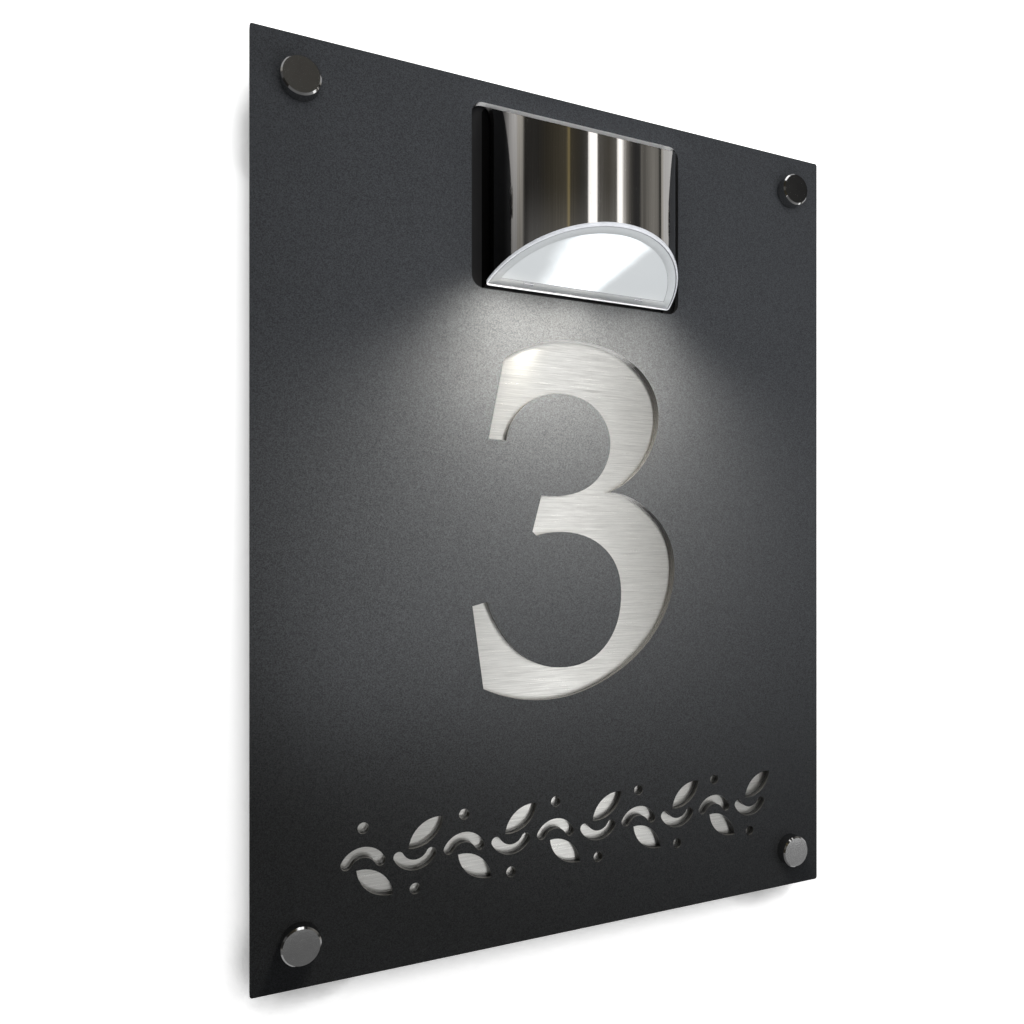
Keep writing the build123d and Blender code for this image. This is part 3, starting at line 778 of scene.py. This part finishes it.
def add_loop(mesh, outline, drop):
    """One loop of a lens profile: the outline, that far under the lens's upper face."""
    return [mesh.verts.new((x, y, lens_height(y) - drop)) for x, y in outline]


def bridge(mesh, first, second, material_index):
    """A smooth band of faces between two loops of the same count."""
    count = len(first)
    for i in range(count):
        j = (i + 1) % count
        face = mesh.faces.new((first[i], first[j], second[j], second[i]))
        face.material_index = material_index
        face.smooth = True


def add_block(mesh, centre, axes, sizes, material_index=0):
    """A block with given centre, axes and sizes, and a small bevel."""
    columns = [(*(axis * size), 0.0) for axis, size in zip(axes, sizes)] + [(*centre, 1.0)]
    corners = bmesh.ops.create_cube(mesh, size=1.0, matrix=Matrix(columns).transposed())["verts"]
    for face in {face for corner in corners for face in corner.link_faces}:
        face.material_index = material_index
    edges = {edge for corner in corners for edge in corner.link_edges}
    bmesh.ops.bevel(
        mesh, geom=list(edges), offset=BLOCK_BEVEL, segments=2, affect="EDGES", profile=0.5, clamp_overlap=True
    )


def lens_profile(lamp):
    """Loops of the lens's tray: inset, drop under its upper face, and finish of the band that ends there.

    The finishes are 0 rim, 1 groove in painted shade, 2 face and 3 ring.
    """
    width, height = lamp.rim_width, lamp.rim_height
    top = 0.5 * MM
    soft, bulge_in, bulge_down = 0.3 * MM, 0.08 * MM, 0.1 * MM  # the rim's rounded edges
    flat = height - RIM_STEP
    face_drop = flat - FACE_STEP
    ring = width + 0.4 * MM  # past the groove
    face_edge = ring + lamp.ring_width
    nick = 0.1 * MM  # the steps of the groove and the face's edge
    return (
        (soft, top, 0), (bulge_in, top + bulge_down, 0), (0.0, top + soft, 0), (0.0, height - soft, 0),
        (bulge_in, height - bulge_down, 0), (soft, height, 0), (width - soft, height, 0),
        (width - bulge_in, height - bulge_down, 0), (width, height - soft, 0), (width, flat - 2 * nick, 1),
        (width + nick, flat - 3 * nick, 1), (ring - nick / 2, flat - 2 * nick, 1), (ring, flat, 1),
        (face_edge, flat, 3), (face_edge + nick, flat - nick, 3), (face_edge + 2 * nick, face_drop, 1),
        (face_edge + 3 * nick, face_drop, 2), (face_edge + FACE_BAND, face_drop, 2),
    )


def add_tongue(mesh, side, flat):
    """A snap tongue with its barb on the lens's upper face, and the mark under it on the ring, in the groove's painted
    shade.
    """
    slope = Vector((0.0, -math.cos(LENS_PITCH), math.sin(LENS_PITCH)))
    rise = Vector((0.0, math.sin(LENS_PITCH), math.cos(LENS_PITCH)))
    axes = (Vector((1.0, 0.0, 0.0)), slope, rise)
    y = LENS_BACK - TONGUE_INSET
    root = Vector((LAMP_X + side * TONGUE_SIDE, y, lens_height(y)))
    add_block(mesh, root + rise * TONGUE_RISE, axes, TONGUE_SIZE)
    add_block(mesh, root + rise * BARB_RISE + slope * BARB_REACH, axes, BARB_SIZE)
    add_block(mesh, root - rise * (flat + MARK_DROP), axes, MARK_SIZE, 1)


# ---------------- operators


class SIGN_OT_plate(bpy.types.Operator):
    """Coats the front plate"""

    bl_idname = "sign.plate"
    bl_label = "Coat the plate"

    def execute(self, context):
        dress(powder_coat(context.scene.sign_plate), "front_plate")
        return {"FINISHED"}


class SIGN_OT_sheet(bpy.types.Operator):
    """Brushes the backing sheet along its width"""

    bl_idname = "sign.sheet"
    bl_label = "Brush the backing sheet"

    def execute(self, context):
        dress(brushed_sheet(context.scene.sign_metal), "backing_sheet")
        return {"FINISHED"}


class SIGN_OT_standoffs(bpy.types.Operator):
    """Finishes the caps, barrels and soft washers"""

    bl_idname = "sign.standoffs"
    bl_label = "Finish the standoffs"

    def execute(self, context):
        metal = context.scene.sign_metal
        dress(dark_chrome(metal), "cap_tl", "cap_tr", "cap_bl", "cap_br")
        dress(turned_steel(metal), "standoff_barrels")
        dress(clear_plastic("soft_washer", (0.78, 0.8, 0.8), 0.3, 0.55), "back_washers", "front_washers")
        return {"FINISHED"}


class SIGN_OT_cover(bpy.types.Operator):
    """Polishes the lamp's half-round cover"""

    bl_idname = "sign.cover"
    bl_label = "Polish the lamp cover"

    def execute(self, context):
        dress(polished_steel(context.scene.sign_metal), "steel_cover")
        return {"FINISHED"}


class SIGN_OT_lens(bpy.types.Operator):
    """Builds the lens: a half-moon tray with a clear rim, a groove, a frosted face and two snap tongues"""

    bl_idname = "sign.lens"
    bl_label = "Build the lens"

    def execute(self, context):
        lamp = context.scene.sign_lamp
        finishes = (lens_rim(lamp), painted_groove_shade(), frosted_glow(lamp), lens_ring(lamp))
        profile = lens_profile(lamp)
        mesh = bmesh.new()
        loops = [add_loop(mesh, lens_outline(inset, lamp.arc_steps), drop) for inset, drop, _ in profile]
        for (first, second), (_, _, material_index) in zip(zip(loops, loops[1:]), profile[1:]):
            bridge(mesh, first, second, material_index)
        for end in (loops[0][::-1], loops[-1]):
            mesh.faces.new(end).material_index = 2
        for side in (-1, 1):
            add_tongue(mesh, side, lamp.rim_height - RIM_STEP)
        piece = add_mesh("lens_tray", mesh, [finish.material for finish in finishes], "lens")
        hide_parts("lens")
        return {"FINISHED"}


class SIGN_OT_light_box(bpy.types.Operator):
    """Finishes the reflector, the lighting board and its light emitters"""

    bl_idname = "sign.light_box"
    bl_label = "Finish the light box"

    def execute(self, context):
        lamp = context.scene.sign_lamp
        white = moulded_plastic("white_plastic", (0.78, 0.78, 0.77), 0.34, depth=0.01 * MM)
        dress(white, "reflector", "switch_knob")
        dress(circuit_board("white_board", (0.72, 0.72, 0.71), (0.75, 0.6, 0.35), 3 * MM), "led_board")
        emitter = moulded_plastic("light_emitter", (0.92, 0.85, 0.45), 0.3, depth=0.01 * MM)
        emitter.wear(emission_color=lamp.glow_colour, emission_strength=4.0)
        dress(emitter, "leds")
        return {"FINISHED"}


class SIGN_OT_solar_top(bpy.types.Operator):
    """Finishes the slanted top's window and solar cell"""

    bl_idname = "sign.solar_top"
    bl_label = "Finish the solar top"

    def execute(self, context):
        dress(solar_silicon(), "solar_cell")
        dress(clear_plastic("clear_window", (0.93, 0.95, 0.95), 0.02, 0.95, 6 * MM), "panel_window")
        return {"FINISHED"}


class SIGN_OT_housing(bpy.types.Operator):
    """Finishes the black moulded housing parts"""

    bl_idname = "sign.housing"
    bl_label = "Finish the housing"

    def execute(self, context):
        black = moulded_plastic("black_plastic", (0.008, 0.008, 0.009), 0.45, specular_ior_level=0.3)
        dress(black, "lamp_base", "battery_door", "top_frame", "switch_body")
        return {"FINISHED"}


class SIGN_OT_electrics(bpy.types.Operator):
    """Finishes the battery, its contacts and the control board"""

    bl_idname = "sign.electrics"
    bl_label = "Finish the electrics"

    def execute(self, context):
        dress(battery_sleeve(), "battery_cell")
        dress(plated_metal("contact_steel", (0.68, 0.66, 0.6), 0.25), "battery_contacts", "battery_spring")
        dress(circuit_board("circuit_board", (0.02, 0.16, 0.05), (0.72, 0.62, 0.4)), "control_board")
        dress(board_components(), "control_parts")
        return {"FINISHED"}


class SIGN_OT_fasteners(bpy.types.Operator):
    """Finishes the screws and nuts of the lamp"""

    bl_idname = "sign.fasteners"
    bl_label = "Finish the fasteners"

    def execute(self, context):
        dress(plated_metal("zinc_fastener", (0.62, 0.62, 0.6), 0.28), "lamp_screws", "lamp_nuts")
        return {"FINISHED"}


# ---------------- studio


# Where each stop of the studio's upright bands lies in degrees, its brightness and its warmth. Only metal mirrors them.
STUDIO_BANDS = (
    (-180, 0.55, 0.1), (-84.5, 0.5, 0.1), (-82, 0.035, 0.1), (-66, 0.03, 0.1), (-55, 0.04, 0.3), (-42, 0.06, 0.35),
    (-33, 0.08, 0.35), (-32, 0.28, 0.6), (-30.8, 0.28, 0.6), (-29.8, 0.06, 0.35), (-18, 0.045, 0.2),
    (-10.6, 0.09, 0.1), (-9.6, 1.9, 0.02), (-1.4, 1.9, 0.02), (-0.4, 0.13, 0.1), (12, 0.08, 0.2), (21.6, 0.15, 0.1),
    (22.8, 1.9, 0.02), (27.6, 1.9, 0.02), (29.4, 0.7, 0.05), (33, 0.28, 0.1), (37.5, 0.09, 0.1), (44, 0.035, 0.0),
    (51, 0.04, 0.0), (53.5, 0.19, 0.1), (57, 0.12, 0.1), (63, 0.2, 0.1), (72, 0.27, 0.1), (81, 0.2, 0.1),
    (83.5, 0.03, 0.1), (86, 0.04, 0.1), (88, 0.5, 0.1),
)

# Left, right, bottom and top in degrees and brightness of what else the metal mirrors: a grey over the horizon, the
# ceiling's light, a low light at the right, and one low in front.
STUDIO_PATCHES = (
    (-85, 34, 5, 24, 0.10), (-190, 190, 61, 100, 2.2), (60, 82, -30, -9, 1.8), (9, 24, -34, -18, 1.3),
)
PATCH_SOFT_X, PATCH_SOFT_Z = 2.0, 2.5  # half the width of the patches' soft edges, in degrees

# The lamp's own light: each spot's offset from the lamp's middle and distance from the plate in millimetres, and its
# share of the power. Metal mirrors the last near one only.
NEAR_WASH = ((-44, 26, 1.2), (-24, 24, 0.58), (-4, 22, 0.88), (16, 24, 0.3), (36, 26, 0.58), (-14, 26, 0.07))
FAR_WASH = ((-36, 45, 1.15), (33, 45, 0.85))

ROOM_HALF, ROOM_HIGH = 2.4, 1.6  # half the room's width and the wall's upper edge, in metres
WALL_GAP = 0.2 * MM  # between the sign and the wall
# The wall's shade round the sign is a painted shadow: its glow is lowered where ambient occlusion, looking towards the
# light, finds the sign.
TOWARDS_LIGHT = (-0.164, -0.547, 0.821)  # where the wall looks for open sky
SHADE_REACH = 34 * MM  # how far away the sign still shades the wall
SHADE_OPENNESS = (0.785, 0.865)  # share of open sky where the wall's shade is full, and where it ends
# The floor's pool of light and its brightening to the right are painted light, seen only in metal.
POOL_X, POOL_EDGE, POOL_CORE = 1.35, 1.15, 0.55  # middle, outer and inner half width of the floor's lit pool
POOL_RIM = 0.25  # share of the pool's light outside its outer edge
POOL_START, POOL_FULL = -2.1, -2.25  # where the pool starts and is full, in front of the wall
FLOOR_START, FLOOR_FULL = 0.1, 2.0  # where the floor turns brighter to the right


def studio_world(settings):
    """White to the camera, even light on the object, and a dark studio with bright upright bands in reflections."""
    world = bpy.data.worlds.new("studio")
    world.use_nodes = True
    world.cycles.sampling_method = "NONE"
    world.node_tree.nodes.clear()
    sky = Nodes(world.node_tree)
    x, y, z = sky.axes(sky.node("ShaderNodeTexCoord").outputs["Generated"])
    turn = sky.calc("ARCTAN2", x, sky.times(y, -1.0))
    ramp = sky.node("ShaderNodeValToRGB", {0: sky.calc("ADD", sky.calc("DIVIDE", turn, 2 * math.pi), 0.5)})
    stops = ramp.color_ramp.elements
    for (azimuth, level, warmth), spare in zip(STUDIO_BANDS, (stops[0], stops[1], *[None] * len(STUDIO_BANDS))):
        at = (azimuth + 180) / 360
        stop = spare or stops.new(at)
        stop.position = at
        stop.color = (level, level * (1 - 0.3 * warmth), level * (1 - warmth), 1.0)

    rise = sky.times(sky.calc("ARCSINE", z), 180 / math.pi)
    around = sky.times(turn, 180 / math.pi)
    patches = 0.0
    for left, right, bottom, top, level in STUDIO_PATCHES:
        across = sky.times(sky.step(around, left, PATCH_SOFT_X), sky.step(around, right, -PATCH_SOFT_X))
        upright = sky.times(sky.step(rise, bottom, PATCH_SOFT_Z), sky.step(rise, top, -PATCH_SOFT_Z))
        patches = sky.calc("ADD", patches, sky.times(sky.times(across, upright), level))
    lifted = sky.node("ShaderNodeVectorMath", {0: ramp.outputs["Color"], 1: patches}, operation="ADD")

    bands = sky.node("ShaderNodeBackground", {"Color": lifted.outputs[0]}).outputs[0]
    even = sky.node("ShaderNodeBackground", {"Color": WHITE, "Strength": settings.room_light}).outputs[0]
    white = sky.node("ShaderNodeBackground", {"Color": WHITE}).outputs[0]
    ray = sky.node("ShaderNodeLightPath").outputs
    clear = sky.calc("MAXIMUM", ray["Is Camera Ray"], ray["Is Transmission Ray"])
    seen = sky.either(clear, sky.either(ray["Is Glossy Ray"], even, bands), white)
    sky.node("ShaderNodeOutputWorld", {"Surface": seen})
    return world


def backdrop_material(name, settings, one_sided):
    """Pale matte backdrop, lifted to white for the camera and through glass, and greyer in metal.

    A one-sided backdrop is the wall: it is clear from behind, and a narrow painted shadow, drawn into its glow from
    ambient occlusion, lies on it round the sign. The other is the floor, with a painted pool of light far in front of
    the sign, brighter to the right, that only metal mirrors.
    """
    paint = Finish(name)
    speckle = paint.noise(9 * MM)
    ray = paint.node("ShaderNodeLightPath").outputs
    seen = paint.calc("MAXIMUM", ray["Is Camera Ray"], ray["Is Transmission Ray"])
    paint.wear(
        base_color=paint.shade(settings.wall_colour, speckle, 0.99, 1.01),
        roughness=0.9,
        specular_ior_level=0.1,
        emission_color=WHITE,
    )
    if one_sided:
        # Painted shadow: the wall's glow drops from wall_glow to wall_shade where ambient occlusion finds the sign
        # close by.
        normal = paint.feed_all(paint.node("ShaderNodeCombineXYZ"), *TOWARDS_LIGHT)
        open_sky = paint.node("ShaderNodeAmbientOcclusion", {"Distance": SHADE_REACH, "Normal": normal}, samples=16)
        white = paint.span(open_sky.outputs["AO"], *SHADE_OPENNESS, settings.wall_shade, settings.wall_glow)
        grey = settings.wall_mirrored
    else:
        white = settings.wall_glow
        x, y, _ = paint.axes(paint.place)
        # Painted light, seen only in metal: the floor brightens to the right, and a pool of light is painted far in
        # front of the sign.
        floor = paint.span(x, FLOOR_START, FLOOR_FULL, settings.floor_mirrored, 2 * settings.floor_mirrored)
        off_middle = paint.calc("ABSOLUTE", paint.calc("SUBTRACT", x, POOL_X))
        patch = paint.span(off_middle, POOL_EDGE, POOL_CORE, POOL_RIM, 1.0)
        pool = paint.times(paint.span(y, POOL_START, POOL_FULL), patch)
        grey = paint.calc("MULTIPLY_ADD", pool, settings.pool_mirrored, floor)
    paint.wear(emission_strength=paint.times(seen, white))
    plain = paint.node("ShaderNodeEmission", {"Strength": grey}).outputs[0]
    surface = paint.either(ray["Is Glossy Ray"], paint.shader.outputs[0], plain)
    if one_sided:
        behind = paint.node("ShaderNodeNewGeometry").outputs["Backfacing"]
        clear = paint.calc("MAXIMUM", behind, ray["Is Shadow Ray"])
        surface = paint.either(clear, surface, paint.node("ShaderNodeBsdfTransparent").outputs[0])
    paint.feed(paint.tree.nodes["Material Output"].inputs["Surface"], surface)
    return paint.material


def backdrop(name, corners, material):
    """A flat backdrop, which is not part of the sign."""
    data = bpy.data.meshes.new(name)
    data.from_pydata(corners, [], [range(len(corners))])
    data.materials.append(material)
    piece = bpy.data.objects.new(name, data)
    bpy.context.scene.collection.objects.link(piece)


def add_lamp(name, kind, place, aim, power, **settings):
    """A lamp at a place that points at another, with its power in watts."""
    data = bpy.data.lights.new(name, kind)
    data.energy = power
    for key, value in settings.items():
        setattr(data, key, value)
    made = bpy.data.objects.new(name, data)
    made.location = place
    made.rotation_euler = (Vector(aim) - Vector(place)).to_track_quat("-Z", "Y").to_euler()
    bpy.context.scene.collection.objects.link(made)
    return made


def linear_falloff(light):
    """Lets a lamp's light fall off more slowly than from a point, as from a broad diffuser."""
    light.data.use_nodes = True
    nodes = Nodes(light.data.node_tree)
    falloff = nodes.node("ShaderNodeLightFalloff", {"Strength": 1.0})
    nodes.feed(nodes.tree.nodes["Emission"].inputs["Strength"], falloff.outputs["Linear"])


def wash_lamps(name, row, drop, lean, power, **settings):
    """A row of spots that light the plate, each that drop under the lens's rear and leaning to the plate."""
    spots = []
    for turn, (side, off, share) in enumerate(row):
        place = Vector((LAMP_X + side * MM, FRONT - off * MM, LENS_REAR - drop))
        aim = place + Vector((0.0, math.sin(lean), -math.cos(lean)))
        spots.append(add_lamp(f"{name}_{turn}", "SPOT", place, aim, power * share, **settings))
    return spots


def add_camera(studio):
    """The camera that the picture is taken with."""
    camera = bpy.data.cameras.new("camera")
    camera.sensor_width = 36.0
    camera.lens = studio.camera_lens
    camera.shift_y = studio.camera_shift
    camera.clip_start = 0.01
    viewer = bpy.data.objects.new("camera", camera)
    viewer.location = studio.camera_place
    viewer.rotation_euler = (math.radians(90), 0.0, -studio.camera_yaw)
    bpy.context.scene.collection.objects.link(viewer)
    bpy.context.scene.camera = viewer


class SIGN_OT_stage(bpy.types.Operator):
    """Sets the wall, the floor, the lamps, the room and the camera"""

    bl_idname = "sign.stage"
    bl_label = "Set the studio"

    def execute(self, context):
        studio = context.scene.sign_studio
        wash = context.scene.sign_lamp.wash_colour
        wide, low, high = ROOM_HALF, -studio.floor_drop, ROOM_HIGH
        wall = backdrop_material("pale_wall", studio, one_sided=True)
        floor = backdrop_material("pale_floor", studio, one_sided=False)
        upright = [(x, WALL_GAP, z) for x, z in ((-wide, low), (wide, low), (wide, high), (-wide, high))]
        level = [(x, y, low) for x, y in ((-wide, -wide), (wide, -wide), (wide, wide), (-wide, wide))]
        backdrop("wall", upright, wall)
        backdrop("floor", level, floor)
        context.scene.world = studio_world(studio)

        add_lamp("key", "AREA", (0.085, -0.268, 0.150), (0.172, FRONT, 0.297), studio.key_power, size=0.55)
        add_lamp("fill", "AREA", (0.80, -0.64, -0.21), (0.0, FRONT, 0.0), studio.fill_power, size=0.3)
        add_lamp("rear", "AREA", (0.5, 0.9, 0.7), (0.0, 0.0, 0.0), studio.back_power, size=0.7)
        near = wash_lamps(
            "near_wash", NEAR_WASH, drop=6 * MM, lean=math.radians(47), power=studio.near_wash,
            spot_size=math.radians(130), spot_blend=0.97, shadow_soft_size=6 * MM, color=wash,
        )
        for spot in near:
            linear_falloff(spot)
        # A strip in the window, which lights the window's upper cut edge.
        strip = (LAMP_X, FRONT - 9 * MM, COVER_HIGH.z - 3.7 * MM)
        edge = (LAMP_X, FRONT + 1.5 * MM, COVER_HIGH.z + 1.9 * MM)
        add_lamp("edge_light", "AREA", strip, edge, studio.edge_power, shape="RECTANGLE", size=104 * MM, size_y=4 * MM)
        wash_lamps(
            "far_wash", FAR_WASH, drop=10 * MM, lean=0.0, power=studio.far_wash,
            spot_size=math.radians(168), spot_blend=1.0, shadow_soft_size=10 * MM, color=wash,
        )
        for light in context.scene.objects:
            if light.type == "LIGHT":
                light.visible_camera = False
                light.visible_glossy = light == near[-1]
        add_camera(studio)
        context.scene.view_settings.view_transform = "Standard"
        return {"FINISHED"}


OPERATORS = (
    SIGN_OT_plate, SIGN_OT_sheet, SIGN_OT_standoffs, SIGN_OT_cover, SIGN_OT_lens, SIGN_OT_light_box,
    SIGN_OT_solar_top, SIGN_OT_housing, SIGN_OT_electrics, SIGN_OT_fasteners, SIGN_OT_stage,
)

GROUPS = {
    "sign_plate": SignPlateFinish,
    "sign_metal": SignMetalFinish,
    "sign_lamp": SignLampFinish,
    "sign_studio": SignStudio,
}


class SIGN_PT_panel(bpy.types.Panel):
    """Lists the sign's steps and settings in the sidebar"""

    bl_idname = "SIGN_PT_panel"
    bl_label = "House number sign"
    bl_space_type = "VIEW_3D"
    bl_region_type = "UI"
    bl_category = "Sign"

    def draw(self, context):
        for operator in OPERATORS:
            self.layout.operator(operator.bl_idname)
        for key in GROUPS:
            group = getattr(context.scene, key)
            box = self.layout.box()
            for name in group.__annotations__:
                box.prop(group, name)


def register():
    """Registers the settings, the operators and the panel."""
    for item in (*GROUPS.values(), *OPERATORS, SIGN_PT_panel):
        bpy.utils.register_class(item)
    for name, group in GROUPS.items():
        setattr(bpy.types.Scene, name, PointerProperty(type=group))


def unregister():
    """Takes them all away again."""
    for name in GROUPS:
        delattr(bpy.types.Scene, name)
    for item in (SIGN_PT_panel, *OPERATORS[::-1], *GROUPS.values()):
        bpy.utils.unregister_class(item)


def main():
    register()
    for operator in OPERATORS:
        group, name = operator.bl_idname.split(".")
        getattr(getattr(bpy.ops, group), name)()


if __name__ == "__main__":
    main()
